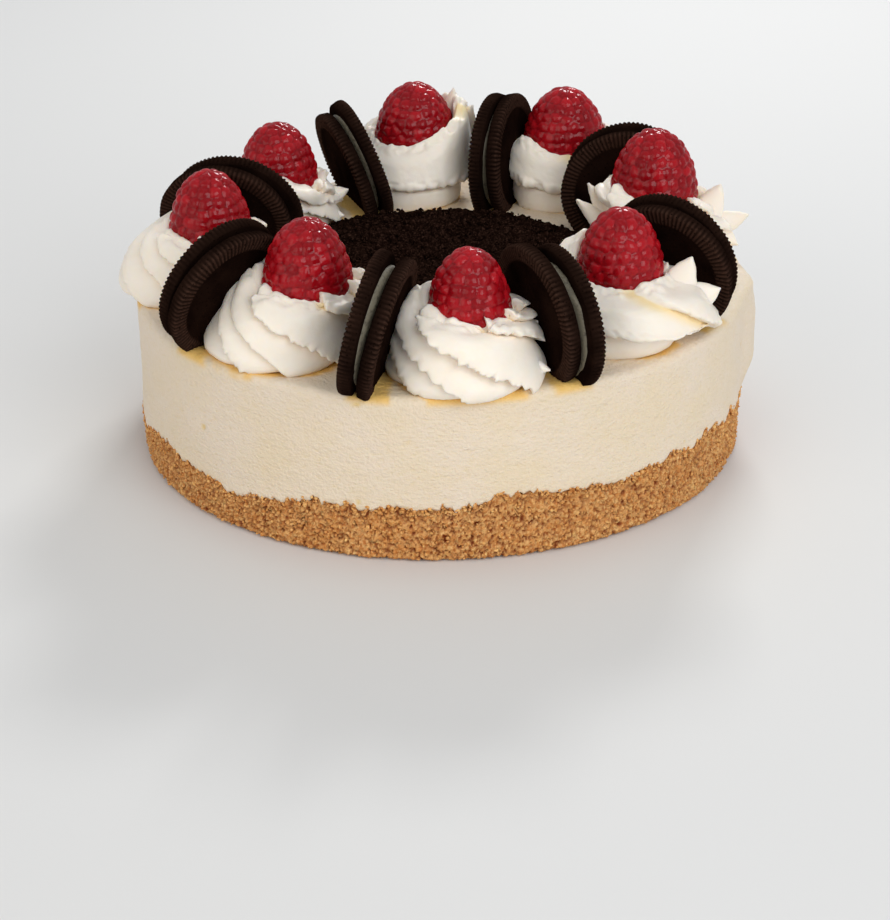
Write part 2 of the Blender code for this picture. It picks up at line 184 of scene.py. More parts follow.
# Sandwich biscuits: azimuth, ring radius and height of the centre, twist, lean, parting, and how
# far the far wafer has slipped up and outwards
BISCUITS = (
    (72.5, 76.0, 71.5, -3.0, -2.0, -2.0, 0.3, -2.0),
    (32.5, 77.5, 69.5, -37.0, 2.0, 1.5, 0.8, 1.0),
    (-28.0, 82.5, 73.0, -6.0, 14.0, 3.0, -0.6, -2.0),
    (-67.3, 85.6, 72.0, 4.0, 7.0, 3.5, -1.2, 4.0),
    (-102.3, 89.5, 72.5, -1.0, -13.5, 2.0, -2.0, -3.2),
    (-140.5, 87.0, 72.8, 6.0, -21.0, 2.5, 0.6, 1.5),
    (172.0, 70.3, 72.3, -2.0, -19.0, 1.0, 0.8, 2.4),
    (113.2, 77.5, 69.0, -3.0, -17.5, 0.0, -2.6, 1.5),
)
# Half the length and half the width in mm of the filling that a biscuit covers
FOOTPRINT = (17.0, 6.0)
WAFER_RADIUS = 22.6 * MM
WAFER_THICKNESS = 4.4 * MM
WAFER_SPACING = 6.1 * MM
WAFER_TEETH = 90
WAFER_TOOTH = 0.85 * MM
WAFER_BAR = 0.75 * MM
# Section of a wafer: how far in from its rim and down from its outer face, and the shares of the
# gaps between the bars and between the teeth that it has there
WAFER_SECTION = (
    (18.6, 4.4, 0, 0), (1.2, 4.4, 0, 0), (0.6, 4.15, 0, 0.15), (0.3, 2.7, 0, 0.3),
    (0.15, 2.1, 0, 0.55), (0.05, 1.5, 0, 0.85), (0.1, 1.05, 0.1, 1.0), (0.3, 0.38, 0.5, 0.8),
    (0.7, 0.14, 0.9, 0.3), (1.3, 0.03, 1, 0), (2.2, 0.0, 1, 0), (3.2, 0.0, 1, 0),
    (4.1, 0.04, 1, 0), (4.7, 0.16, 0.8, 0), (5.1, 0.42, 0.25, 0), (5.5, 0.62, 0, 0),
    (7.0, 0.66, 0, 0), (15.0, 0.64, 0, 0),
)
BISCUIT_CREAM_RADIUS = 18.3 * MM
BISCUIT_CREAM_COLUMNS = 160

# Crumb topping
TOPPING_RADIUS = 56.0 * MM
TOPPING_DEPTH = 4.6 * MM
TOPPING_EDGE_DEPTH = 3.3 * MM
TOPPING_GRID = (400, 72)
LOOSE_CRUMBS = 1250
STRAY_SHARE = 0.05

# Camera, where the photo was taken from
LENS_MM = 90.74
CAMERA_SPOT = (0.0, -0.72469, 0.33885)
CAMERA_RIGHT = (0.99994181, -0.00579484, -0.00909904)
CAMERA_UP = (0.01071823, 0.43817605, 0.89882527)
CAMERA_FORWARD = (0.00122157, 0.8988705, -0.43821266)

# Lights: name, place, what it is aimed at, size, power in watts, tint
LIGHTS = (
    ("key", (0.80, -1.30, 1.02), (0, 0, 0.05), (1.2, 1.2), 15.0, (0.94, 0.975, 1.0)),
    ("fill", (-1.02, -1.09, 0.73), (0, 0, 0.04), (1.2, 1.2), 5.7, (1.0, 0.95, 0.85)),
    ("rim", (0.22, 0.80, 0.72), (0, 0, 0.07), (0.30, 0.18), 4.2, (0.97, 0.99, 1.0)),
)
ROOM_TINT = (0.93, 0.96, 1.0, 1.0)
ROOM_STRENGTH = 0.53
FLOOR_HALF = 4.0


# Noise in a block of space, for any number of points at once

def hashed(cells, seed):
    """An even random number from 0 to 1 for each whole-numbered cell."""
    n = (cells[..., 0] * 73856093) ^ (cells[..., 1] * 19349663) ^ (cells[..., 2] * 83492791)
    n = (n ^ (seed * 40503 + 977)) & 0xFFFFFFFF
    n = ((n ^ (n >> 15)) * 0x2C1B3C6D) & 0xFFFFFFFF
    n = ((n ^ (n >> 12)) * 0x297A2D39) & 0xFFFFFFFF
    return ((n ^ (n >> 15)) & 0xFFFFFF) / 0x1000000


def swell(points, size, seed, octaves=1):
    """Smooth uneven waves from -1 to 1, of about that size from one to the next."""
    total, weight, reach = 0.0, 1.0, 0.0
    for octave in range(octaves):
        spot = points / size * 2**octave
        cell = np.floor(spot).astype(np.int64)
        part = spot - cell
        part = part * part * (3 - 2 * part)
        value = 0.0
        for corner in np.ndindex(2, 2, 2):
            share = np.prod(np.where(corner, part, 1 - part), axis=-1)
            value = value + share * hashed(cell + np.array(corner), seed + octave)
        total = total + weight * (2 * value - 1)
        reach += weight
        weight *= 0.5
    return total / reach


def grains(points, size, seed):
    """Grains of about that size: how deep a point lies in the crack between them, from 0 at the
    middle of a grain to 1 in the crack, and a random number for each grain."""
    spot = points / size
    cell = np.floor(spot).astype(np.int64)
    first = np.full(len(points), 9.0)
    second = first.copy()
    own = np.zeros(len(points))
    for step in np.ndindex(3, 3, 3):
        near = cell + np.array(step) - 1
        middle = near + np.stack([hashed(near, seed + k) for k in (1, 2, 3)], axis=-1)
        gap = np.linalg.norm(spot - middle, axis=-1)
        closer = gap < first
        second = np.where(closer, first, np.minimum(second, gap))
        own = np.where(closer, hashed(near, seed + 4), own)
        first = np.where(closer, gap, first)
    return first / np.maximum(second, 1e-6), own


def steps(value, low, high):
    """0 below low, 1 above high, eased between."""
    t = np.clip((value - low) / (high - low), 0, 1)
    return t * t * (3 - 2 * t)


def along_curve(points, count):
    """That many points at equal spacing on a smooth curve through the points."""
    points = np.array(points, float)
    ends = np.vstack([2 * points[0] - points[1], points, 2 * points[-1] - points[-2]])
    fine = []
    for a, b, c, d in zip(ends, ends[1:], ends[2:], ends[3:]):
        t = np.linspace(0, 1, 24, endpoint=False)[:, None]
        fine.append(0.5 * (2 * b + (c - a) * t + (2 * a - 5 * b + 4 * c - d) * t**2
                           + (3 * b - a - 3 * c + d) * t**3))
    fine = np.vstack(fine + [points[-1:]])
    length = np.concatenate([[0], np.cumsum(np.linalg.norm(np.diff(fine, axis=0), axis=1))])
    wanted = np.linspace(0, length[-1], count)
    return np.stack([np.interp(wanted, length, fine[:, k]) for k in range(fine.shape[1])], axis=1)


def polar(radius, angle, height):
    return np.stack(np.broadcast_arrays(radius * np.cos(angle), radius * np.sin(angle), height), -1)


def framed(right, up, back, origin):
    """The matrix of a frame with those three axes and that origin."""
    matrix = Matrix((right, up, back)).transposed().to_4x4()
    matrix.translation = origin
    return matrix


def once_round(count):
    """That many azimuths, evenly once round."""
    return np.arange(count) * TAU / count


def apart(degrees, azimuth):
    """How many degrees two azimuths lie apart, from 0 to 180."""
    return np.abs((degrees - azimuth + 180) % 360 - 180)


# Meshes

def ring_faces(rows, columns, offset):
    """Faces of a closed shell through rings of points, which are followed by its two end points."""
    i = np.arange(columns)
    j = (i + 1) % columns
    faces = []
    for row in range(rows - 1):
        a = row * columns
        faces += (np.stack([a + i, a + j, a + columns + j, a + columns + i], -1) + offset).tolist()
    last = (rows - 1) * columns
    foot = np.stack([np.full(columns, rows * columns), j, i], -1)
    top = np.stack([np.full(columns, rows * columns + 1), last + i, last + j], -1)
    return faces + (foot + offset).tolist() + (top + offset).tolist()


def rings_mesh(name, *shells):
    """A mesh of closed shells. Each is an array of rings, from the lowest to the highest, with the
    point at its low end and the point at its high end."""
    points, faces = [], []
    count = 0
    for rings, low, high in shells:
        faces += ring_faces(*rings.shape[:2], count)
        points += [rings.reshape(-1, 3), np.array([low, high])]
        count += rings.shape[0] * rings.shape[1] + 2
    return solid_mesh(name, np.vstack(points), faces)


def solid_mesh(name, points, faces):
    mesh = bpy.data.meshes.new(name)
    mesh.from_pydata(points.tolist(), [], faces)
    mesh.shade_smooth()
    return mesh


def note(mesh, name, values):
    """Stores a number for each point, which the material reads by that name."""
    layer = mesh.attributes.new(name, "FLOAT", "POINT")
    padded = np.zeros(len(mesh.vertices), np.float32)
    padded[:len(values)] = values
    layer.data.foreach_set("value", padded)


def stand(name, data):
    """Puts a mesh, a light or a camera in the scene."""
    thing = bpy.data.objects.new(name, data)
    bpy.context.scene.collection.objects.link(thing)
    return thing


def place(mesh, material, node):
    """Puts a finished mesh in the scene, in the place of a node of the model."""
    piece = stand(mesh.name, mesh)
    mesh.materials.append(material)
    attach(piece, "root")
    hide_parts(node)


# Materials

def linear(code):
    """A hex colour as linear red, green, blue and alpha."""
    parts = [int(code[i:i + 2], 16) / 255 for i in (0, 2, 4)]
    return (*[c / 12.92 if c <= 0.04045 else ((c + 0.055) / 1.055) ** 2.4 for c in parts], 1.0)


def add(tree, kind, inputs=None, **settings):
    """Adds a node with its settings, and with values or links for its inputs."""
    node = tree.nodes.new(kind)
    for key, value in settings.items():
        setattr(node, key, value)
    for key, value in (inputs or {}).items():
        if isinstance(value, bpy.types.NodeSocket):
            tree.links.new(value, node.inputs[key])
        else:
            node.inputs[key].default_value = value
    return node


def finish(name, **surface):
    """An empty material with its shader set: returns it, its node tree, shader and coordinates."""
    material = bpy.data.materials.new(name)
    material.use_nodes = True
    tree = material.node_tree
    shader = tree.nodes["Principled BSDF"]
    for key, value in surface.items():
        shader.inputs[key.replace("_", " ")].default_value = value
    return material, tree, shader, add(tree, "ShaderNodeTexCoord").outputs["Object"]


def noise(tree, at, size, detail):
    """A noise whose waves are that many mm."""
    scale = 1 / (size * MM)
    return add(tree, "ShaderNodeTexNoise", {"Vector": at, "Scale": scale, "Detail": detail}).outputs[0]


def cell_pattern(tree, at, size):
    """A cell texture, whose cells are that many mm."""
    return add(tree, "ShaderNodeTexVoronoi", {"Vector": at, "Scale": 1 / (size * MM)})


def stored(tree, name):
    """The number of that name that the mesh keeps for each point."""
    return add(tree, "ShaderNodeAttribute", attribute_name=name).outputs["Fac"]


def ramp(tree, value, low, high, start=0.0, end=1.0):
    """Start where the value is low or less, end where it is high or more, and even between."""
    return add(tree, "ShaderNodeMapRange", {0: value, 1: low, 2: high, 3: start, 4: end}).outputs[0]


def tinted(tree, share, first, second):
    """The first colour where the share is 0 and the second where it is 1, as hex codes or links."""
    first, second = [linear(colour) if isinstance(colour, str) else colour for colour in (first, second)]
    return add(tree, "ShaderNodeMix", {0: share, 6: first, 7: second}, data_type="RGBA").outputs[2]


def product(tree, first, second):
    return add(tree, "ShaderNodeMath", {0: first, 1: second}, operation="MULTIPLY").outputs[0]


def average(tree, first, second, share=0.5):
    return add(tree, "ShaderNodeMix", {0: share, 2: first, 3: second}).outputs[0]


def dress(tree, shader, colour, height, strength, depth, roughness=None):
    """Gives the shader its colour, a bump of that depth in mm, and a roughness that varies."""
    bump = add(tree, "ShaderNodeBump", {"Strength": strength, "Distance": depth * MM, "Height": height})
    tree.links.new(colour, shader.inputs["Base Color"])
    tree.links.new(bump.outputs[0], shader.inputs["Normal"])
    if roughness:
        tree.links.new(roughness, shader.inputs["Roughness"])


def baked_crumb():
    # Wholemeal biscuit crushed with melted butter and pressed: dull, golden, each grain its own
    # shade, a painted dark brown shade in its crevices and holes, a faint greasy sheen on the grains
    material, tree, shader, at = finish(
        "baked_crumb", Roughness=0.6, IOR=1.45, Specular_IOR_Level=0.3, Subsurface_Weight=0.1,
        Subsurface_Radius=(1.0, 0.45, 0.2), Subsurface_Scale=0.8 * MM)
    flour = noise(tree, at, 0.8, 3.0)
    meal = cell_pattern(tree, at, 0.9)
    grain = tinted(tree, stored(tree, "tone"), "CE8236", "F8BE68")
    own = tinted(tree, meal.outputs["Color"], "A84A08", "FFDC9C")
    mealy = tinted(tree, 0.5, grain, own)
    specked = tinted(tree, ramp(tree, flour, 0.36, 0.46, 0.6, 0.0), mealy, "9C5012")
    browned = tinted(tree, ramp(tree, noise(tree, at, 12.0, 2.0), 0.35, 0.7, 0.0, 0.3), specked, "CC8034")
    # Painted shade: dark brown in the crevices between grains and in the holes
    colour = tinted(tree, stored(tree, "pit_shade"), browned, "7A2E00")
    gap = ramp(tree, meal.outputs["Distance"], 0.25, 0.75, 1.0, 0.0)
    dress(tree, shader, colour, average(tree, flour, gap), 0.6, 0.3)
    return material


def cheese_filling():
    # Set cream cheese with whipped cream: matt to satin, ivory, light going a little way in, a fine
    # curdled stipple from the ring it was unmoulded from, a painted yellow shade in its hollows and
    # a painted yellow shade on the top round the feet of the rosettes and the biscuits
    material, tree, shader, at = finish(
        "cheese_filling", Roughness=0.5, IOR=1.42, Specular_IOR_Level=0.4, Subsurface_Weight=0.15,
        Subsurface_Radius=(1.0, 0.72, 0.42), Subsurface_Scale=0.8 * MM)
    streaks = add(tree, "ShaderNodeMapping", {"Vector": at, "Scale": (1.0, 1.0, 1.7)}).outputs[0]
    curd = noise(tree, streaks, 1.7, 3.0)
    stipple = noise(tree, at, 0.8, 2.0)
    cloud = noise(tree, at, 22.0, 2.0)
    body = tinted(tree, ramp(tree, cloud, 0.35, 0.65), "E9D6B9", "EAD9C4")
    flecked = tinted(tree, ramp(tree, curd, 0.30, 0.46, 0.4, 0.0), body, "E4CFA6")
    # Painted yellow shade round the feet of the rosettes and biscuits, then in the pocks and pricks
    feet_tinted = tinted(tree, stored(tree, "foot_shade"), flecked, "EEC270")
    colour = tinted(tree, stored(tree, "pit_shade"), feet_tinted, "E6C88C")
    gloss = ramp(tree, cloud, 0.3, 0.7, 0.42, 0.58)
    dress(tree, shader, colour, average(tree, curd, stipple, 0.4), 1.0, 0.7, gloss)
    return material


def dark_crumb():
    # Crushed cocoa biscuit: nearly black, dry and without any shine, with paler brown edges where
    # it broke, and a painted black shade in the crevices between grains
    material, tree, shader, at = finish("dark_crumb", Roughness=0.8, IOR=1.45, Specular_IOR_Level=0.0)
    dust = noise(tree, at, 0.7, 3.0)
    grain = tinted(tree, stored(tree, "tone"), "050201", "22140F")
    dusty = tinted(tree, ramp(tree, dust, 0.5, 0.75, 0.0, 0.5), grain, "5A4034")
    # Painted black shade in the crevices between grains
    colour = tinted(tree, stored(tree, "pit_shade"), dusty, "040101")
    dress(tree, shader, colour, dust, 0.6, 0.2)
    return material


def whipped_cream():
    # Whipped double cream: white, with a painted yellow shade in the grooves under the lips, soft
    # gloss from the butterfat, light passing through the thin torn lips, tiny air bubbles
    material, tree, shader, at = finish(
        "whipped_cream", Roughness=0.42, IOR=1.42, Subsurface_Weight=0.35,
        Subsurface_Radius=(1.0, 0.78, 0.5), Subsurface_Scale=1.3 * MM)
    drag = noise(tree, at, 4.0, 2.0)
    # Painted yellow shade in the grooves under the lips
    tint = tinted(tree, stored(tree, "fold"), "FCEFE1", "FADFA8")
    colour = tinted(tree, ramp(tree, drag, 0.35, 0.7, 0.0, 0.25), tint, "FBE9CF")
    gloss = ramp(tree, drag, 0.3, 0.7, 0.36, 0.52)
    dress(tree, shader, colour, noise(tree, at, 1.1, 3.0), 0.3, 0.2, gloss)
    return material


def raspberry_skin():
    # Fresh raspberry: thin skins full of juice under a clear wet coat, a painted deeper red shade
    # in the grooves between the drupelets, with a pink down that thickens towards the tip
    material, tree, shader, at = finish(
        "raspberry_skin", Roughness=0.36, IOR=1.4, Specular_IOR_Level=0.0, Subsurface_Weight=0.25,
        Subsurface_Radius=(1.0, 0.08, 0.06), Subsurface_Scale=2.5 * MM,
        Coat_Weight=0.6, Coat_Roughness=0.09, Coat_IOR=1.4)
    down = noise(tree, at, 0.9, 3.0)
    juice = tinted(tree, stored(tree, "tone"), "84060F", "AA141D")
    amount = ramp(tree, stored(tree, "tip"), 0.0, 1.0, 0.08, 0.4)
    frost = product(tree, amount, ramp(tree, down, 0.45, 0.72))
    bloom = tinted(tree, frost, juice, "BC4852")
    # Painted deeper red shade in the grooves between the drupelets
    seam_shade = product(tree, stored(tree, "crack"), 0.5)
    colour = tinted(tree, seam_shade, bloom, "70040B")
    dress(tree, shader, colour, down, 0.3, 0.15, ramp(tree, down, 0.35, 0.7, 0.26, 0.5))
    return material


def cocoa_wafer():
    # Baked cocoa biscuit from a mould: very dark brown, dry and dull, with pinholes and a painted
    # paler highlight on the crests of the bars and teeth, broken up by noise
    material, tree, shader, at = finish("cocoa_wafer", Roughness=0.7, IOR=1.45, Specular_IOR_Level=0.0)
    dust = noise(tree, at, 1.0, 4.0)
    hole = ramp(tree, cell_pattern(tree, at, 1.4).outputs["Distance"], 0.12, 0.24)
    baked = ramp(tree, noise(tree, at, 9.0, 2.0), 0.35, 0.65)
    body = tinted(tree, baked, "130A07", "1E120D")
    # Painted paler highlight on the crests of the bars and teeth
    edge = tinted(tree, product(tree, stored(tree, "bar_highlight"), dust), body, "4E372D")
    colour = tinted(tree, hole, "0E0604", edge)
    dress(tree, shader, colour, average(tree, dust, hole), 0.45, 0.2)
    return material


def sugar_cream():
    # Vegetable fat beaten with icing sugar: white painted grey as shade, waxy, picking up dark dust
    material, tree, shader, at = finish(
        "sugar_cream", Roughness=0.5, IOR=1.45, Subsurface_Weight=0.2,
        Subsurface_Radius=(1.0, 0.85, 0.6), Subsurface_Scale=1.2 * MM)
    dust = noise(tree, at, 1.2, 4.0)
    # Painted shade: the grey stands for the shade of the gap between the wafers
    colour = tinted(tree, ramp(tree, dust, 0.5, 0.75, 0.0, 0.75), "7C7462", "32261F")
    dress(tree, shader, colour, dust, 0.4, 0.2)
    return material


# Cake body

def joint_height(azimuth):
    """Height of the ragged line at the side where the crumb base meets the filling."""
    places = np.array(BASE_HEIGHTS, float)
    degrees = (np.degrees(azimuth) + 172) % 360 - 172
    index = np.clip(np.searchsorted(places[:, 0], degrees, side="right") - 1, 0, len(places) - 2)
    start, end = places[index], places[index + 1]
    share = (degrees - start[:, 0]) / (end[:, 0] - start[:, 0])
    height = (start[:, 1] + (end[:, 1] - start[:, 1]) * (1 - np.cos(math.pi * share)) / 2) * MM
    rim = polar(CAKE_RADIUS, azimuth, 0.0)
    lumps, tall = grains(rim, 3.6 * MM, SEED + 3)
    crumbs, raised = grains(rim, 1.7 * MM, SEED + 6)
    ragged = 3.4 * (0.55 - lumps) * tall + 2.6 * (0.6 - crumbs) * raised
    ragged = ragged + 0.35 * swell(rim, 0.8 * MM, SEED + 9)
    wave = 0.9 * swell(rim, 9 * MM, SEED) + 1.3 * swell(rim, 4.2 * MM, SEED + 11)
    return height + (wave + ragged) * MM


def side_wave(azimuth):
    """How far the side of the filling stands out of its circle."""
    return 0.35 * MM * (np.sin(3 * azimuth + 1.3) + 0.6 * np.sin(7 * azimuth))


def swipe(azimuth):
    """How far the smear of filling on the right stands out of the side."""
    middle, half, depth = SWIPE
    turn = apart(np.degrees(azimuth), middle) / half
    return np.where(turn < 1, depth * (1 - np.cos(math.pi * (1 - np.minimum(turn, 1)))) / 2, 0.0)


def crumb_base(material):
    columns, levels = BASE_GRID
    azimuth = once_round(columns)
    top = joint_height(azimuth)
    share = np.linspace(0, 1, levels)[:, None]
    side = polar(CAKE_RADIUS, azimuth, share * top).reshape(-1, 3)
    lumps, first = grains(side, LUMP, SEED + 10)
    bits, second = grains(side, BIT, SEED + 20)
    dust, third = grains(side, DUST, SEED + 30)
    depth = (1.0 * lumps**3 * first + 1.1 * bits**3 * (0.3 + second) + 0.55 * dust**3) * MM
    depth = depth + (0.1 + 0.25 * swell(side, 12 * MM, SEED + 40)) * MM
    # A few grains have fallen out
    holes, chance = grains(side, HOLE, SEED + 50)
    dug = steps(0.45 - holes, 0.0, 0.2) * (chance > 0.72)
    depth = depth + 0.9 * MM * dug
    depth = depth.reshape(levels, columns)
    foot = UNDERSIDE_BEVEL * (1 - np.sqrt(1 - (1 - np.minimum(share * top / UNDERSIDE_BEVEL, 1)) ** 2))
    side = polar(CAKE_RADIUS - depth - foot, azimuth, share * top)
    # Under the filling, where nothing shows
    inner = [polar(CAKE_RADIUS - inset, azimuth, level) for inset, level in
             ((2.5 * MM, top - 0.3 * MM), (INTERFACE_INSET, BASE_HEIGHT))]
    under = polar(CAKE_RADIUS - 6 * MM, azimuth, 0.0)
    rings = np.concatenate([under[None], side, np.stack(inner)])
    mesh = rings_mesh("pressed_crumb_base", (rings, (0, 0, 0), (0, 0, BASE_HEIGHT)))
    zero = np.zeros(columns)
    # Where the shade is painted: the crevices between grains and the holes
    pit_shade = np.clip(steps(bits, 0.62, 0.95) * second + steps(dust, 0.8, 1.0) * 0.3 + dug, 0, 1)
    note(mesh, "pit_shade", np.concatenate([zero, pit_shade]))
    note(mesh, "tone", np.concatenate([zero, 0.5 * second + 0.3 * third + 0.2 * first]))
    place(mesh, material, "biscuit_base")


def near_feet_shade(points):
    """Painted yellow shade on the top, by how close it lies to the foot of a rosette or biscuit, 0 to 1."""
    near = np.zeros(len(points))
    ragged = 2.2 * MM * swell(points, 3.5 * MM, SEED + 58, 2)
    for number, (x, y, reach, _, stepped) in enumerate(ROSETTES):
        foot = reach * MM * (0.72 if stepped else 0.97)
        shift_x, shift_y = FIRST_TURN_SHIFTS.get(number, (0.0, 0.0))
        gap = np.hypot(points[:, 0] - (x + shift_x) * MM, points[:, 1] - (y + shift_y) * MM) - foot + ragged
        near = np.maximum(near, 1 - steps(gap, -1.2 * MM, 1.2 * MM))
    for azimuth, reach, _, twist, _, _, _, _ in BISCUITS:
        middle = polar(reach * MM, math.radians(azimuth), 0.0)
        along = polar(1.0, math.radians(azimuth + twist), 0.0)
        way = points - middle
        ahead = way @ along
        aside = np.abs(way @ np.array((-along[1], along[0], 0.0))) - FOOTPRINT[1] * MM + ragged
        gap = np.maximum(aside, np.abs(ahead) - FOOTPRINT[0] * MM)
        near = np.maximum(near, 1 - steps(gap, -1 * MM, 2.0 * MM))
    return near * steps(points[:, 2], CAKE_HEIGHT - 3.5 * MM, CAKE_HEIGHT - 0.8 * MM)


def filling(material):
    columns, levels = FILLING_GRID
    azimuth = once_round(columns)
    foot = joint_height(azimuth)
    share = np.linspace(0, 1, levels)[:, None]
    turned = azimuth + 0 * share
    crown = CAKE_HEIGHT + 0.5 * MM * swell(polar(CAKE_RADIUS, azimuth, 0.0), 16 * MM, SEED + 60, 2)
    height = foot + (crown - EDGE_ROUND - foot) * share
    side = polar(CAKE_RADIUS + 0 * turned, turned, height).reshape(-1, 3)
    streak = side * (1, 1, 3.0)
    relief = 0.22 * swell(side, 26 * MM, SEED + 61) + 0.12 * swell(streak, 9 * MM, SEED + 62, 2)
    relief = relief + 0.10 * swell(side * (1, 1, 1.5), 2.2 * MM, SEED + 63, 2)
    pocks, chance = grains(side, 7.0 * MM, SEED + 64)
    pock = steps(0.24 + 0.12 * swell(side, 2 * MM, SEED + 65) - pocks, 0.0, 0.14) * (chance > 0.90)
    small, luck = grains(side, 3.2 * MM, SEED + 66)
    prick = steps(0.2 - small, 0.0, 0.12) * (luck > 0.93)
    relief = (relief - 0.45 * pock - 0.3 * prick).reshape(levels, columns) * MM
    reach = CAKE_RADIUS + side_wave(azimuth) * steps(share, 0, 0.4)
    reach = reach + swipe(azimuth) * steps(share, 0.02, 0.22) * (1 - 0.3 * steps(share, 0.7, 1.0)) + relief
    lip = 0.35 * MM * (1 - steps(share * (crown - foot), 0, 1.0 * MM))
    side = polar(reach - lip, turned, height)
    edge = []
    last = reach[-1]
    for turn in np.radians((15, 32, 50, 68, 84)):
        level = crown - EDGE_ROUND * (1 - math.sin(turn))
        ring = polar(last - EDGE_ROUND * (1 - math.cos(turn)), azimuth, level)
        rough = 0.35 * MM * swell(ring, 3.0 * MM, SEED + 67, 2)
        edge.append(ring + np.stack([0 * rough, 0 * rough, rough], -1))
    rim = last - EDGE_ROUND
    inward = []
    for part in np.linspace(0.0, 1, 40) ** 1.5 * 0.98 + 0.02:
        radius = rim + (44 * MM - rim) * part
        ring = polar(radius, azimuth, crown)
        wave = 0.5 * swell(ring, 15 * MM, SEED + 68, 2) + 0.25 * swell(ring, 3.6 * MM, SEED + 69, 2)
        bend = 0.4 * MM * swell(ring, 12 * MM, SEED + 71)
        stroke = np.sin((radius + bend) * TAU / STROKE)
        wave = wave + 0.38 * stroke * (0.5 + swell(ring, 9 * MM, SEED + 72))
        flat = 1 - steps(part, 0.0, 0.12)
        ring[:, 2] = crown * flat + CAKE_HEIGHT * (1 - flat) + wave * MM * (1 - flat) * 0.9
        inward.append(ring)
    rings = np.concatenate([
        polar(CAKE_RADIUS - INTERFACE_INSET, azimuth, BASE_HEIGHT)[None],
        polar(CAKE_RADIUS - 3 * MM, azimuth, foot - 0.2 * MM)[None],
        side, np.stack(edge), np.stack(inward),
    ])
    mesh = rings_mesh("set_filling", (rings, (0, 0, BASE_HEIGHT), (0, 0, CAKE_HEIGHT - 1 * MM)))
    # Painted yellow shade: in the pocks and pricks, and on the top by the feet of rosettes and biscuits
    note(mesh, "pit_shade", np.concatenate([np.zeros(2 * columns), np.clip(0.9 * pock + 0.7 * prick, 0, 1)]))
    note(mesh, "foot_shade", near_feet_shade(rings.reshape(-1, 3)))
    place(mesh, material, "cheesecake_filling")


# Crumb topping

def topping_edge(angle):
    """Radius of the heap's edge, which stays a little off every rosette."""
    radius = TOPPING_RADIUS + 1.8 * MM * np.sin(5 * angle) * np.sin(2 * angle + 1)
    for x, y, reach, _, _ in ROSETTES:
        clear = 0.90 * reach * MM
        for _ in range(80):
            gap = np.hypot(radius * np.cos(angle) - x * MM, radius * np.sin(angle) - y * MM)
            radius = np.where(gap < clear, radius - 0.3 * MM, radius)
    return radius


def heap_height(part):
    """Height of the heap at a share of the way out from its middle."""
    full = TOPPING_DEPTH + (TOPPING_EDGE_DEPTH - TOPPING_DEPTH) * part**4
    return full * (1 - 0.8 * steps(part, 0.955, 1.0))


def crumb_heap(material):
    columns, levels = TOPPING_GRID
    angle = once_round(columns)
    edge = topping_edge(angle)
    edge = edge + 0.9 * MM * swell(polar(edge, angle, 0.0), 3 * MM, SEED + 70, 2)
    rings = [polar(edge * 0.97, angle, SHELF - 0.4 * MM)]
    pit_shades = [np.zeros(columns)]
    tones = [np.zeros(columns)]
    for part in 1 - np.linspace(0.0, 0.985, levels):
        flat = polar(edge * part, angle, 0.0)
        lumps, first = grains(flat, 2.8 * MM, SEED + 71)
        bits, second = grains(flat, 1.5 * MM, SEED + 81)
        rise = 1.2 * (1 - lumps**2) * first + 1.0 * (1 - bits**2) * (0.3 + second)
        rise = rise + 0.5 * swell(flat, 8 * MM, SEED + 91, 2) - 0.85
        ring = flat.copy()
        ring[:, 2] = SHELF + heap_height(part) + rise * MM
        rings.append(ring)
        # Painted shade in the crevices between grains
        pit_shades.append(np.clip(steps(bits, 0.75, 1.0) * 0.7 + steps(lumps, 0.85, 1.0) * 0.4, 0, 1))
        tones.append(0.6 * second + 0.4 * first)
    shell = (np.stack(rings), (0, 0, SHELF - 0.4 * MM), (0, 0, SHELF + TOPPING_DEPTH))
    mesh = rings_mesh("dark_crumb_heap", shell)
    note(mesh, "pit_shade", np.concatenate(pit_shades))
    note(mesh, "tone", np.concatenate(tones))
    place(mesh, material, "crumb_topping")


def crumb_shape():
    """Points and faces of a round lump of 12 points, for bending into crumbs."""
    ball = bpy.data.meshes.new("ball")
    work = bmesh.new()
    bmesh.ops.create_icosphere(work, subdivisions=1, radius=1.0)
    work.to_mesh(ball)
    work.free()
    points = np.array([v.co[:] for v in ball.vertices])
    faces = np.array([p.vertices[:] for p in ball.polygons])
    bpy.data.meshes.remove(ball)
    return points, faces


def scattered(name, centres, sizes, seed):
    """A mesh of lumps of those sizes at those places, each with its own shape, turn and shade."""
    rng = np.random.default_rng(seed)
    shape, shape_faces = crumb_shape()
    points, faces, tones = [], [], []
    for k, (centre, size) in enumerate(zip(centres, sizes)):
        stretch = rng.uniform(0.6, 1.3, 3)
        lump = shape * (1 + 0.3 * swell(shape * 0.9 + k * 3.1, 1.0, seed)[:, None]) * stretch * size
        by = rng.uniform(0, TAU)
        axis = Vector(rng.normal(size=3)).normalized()
        turn = np.array(Matrix.Rotation(by, 3, axis))
        points.append(lump @ turn.T + centre)
        faces.append(shape_faces + k * len(shape))
        tones.append(np.full(len(shape), rng.uniform(0.1, 1.0)))
    mesh = solid_mesh(name, np.vstack(points), np.vstack(faces).tolist())
    note(mesh, "tone", np.concatenate(tones))
    note(mesh, "pit_shade", np.zeros(1))
    return mesh


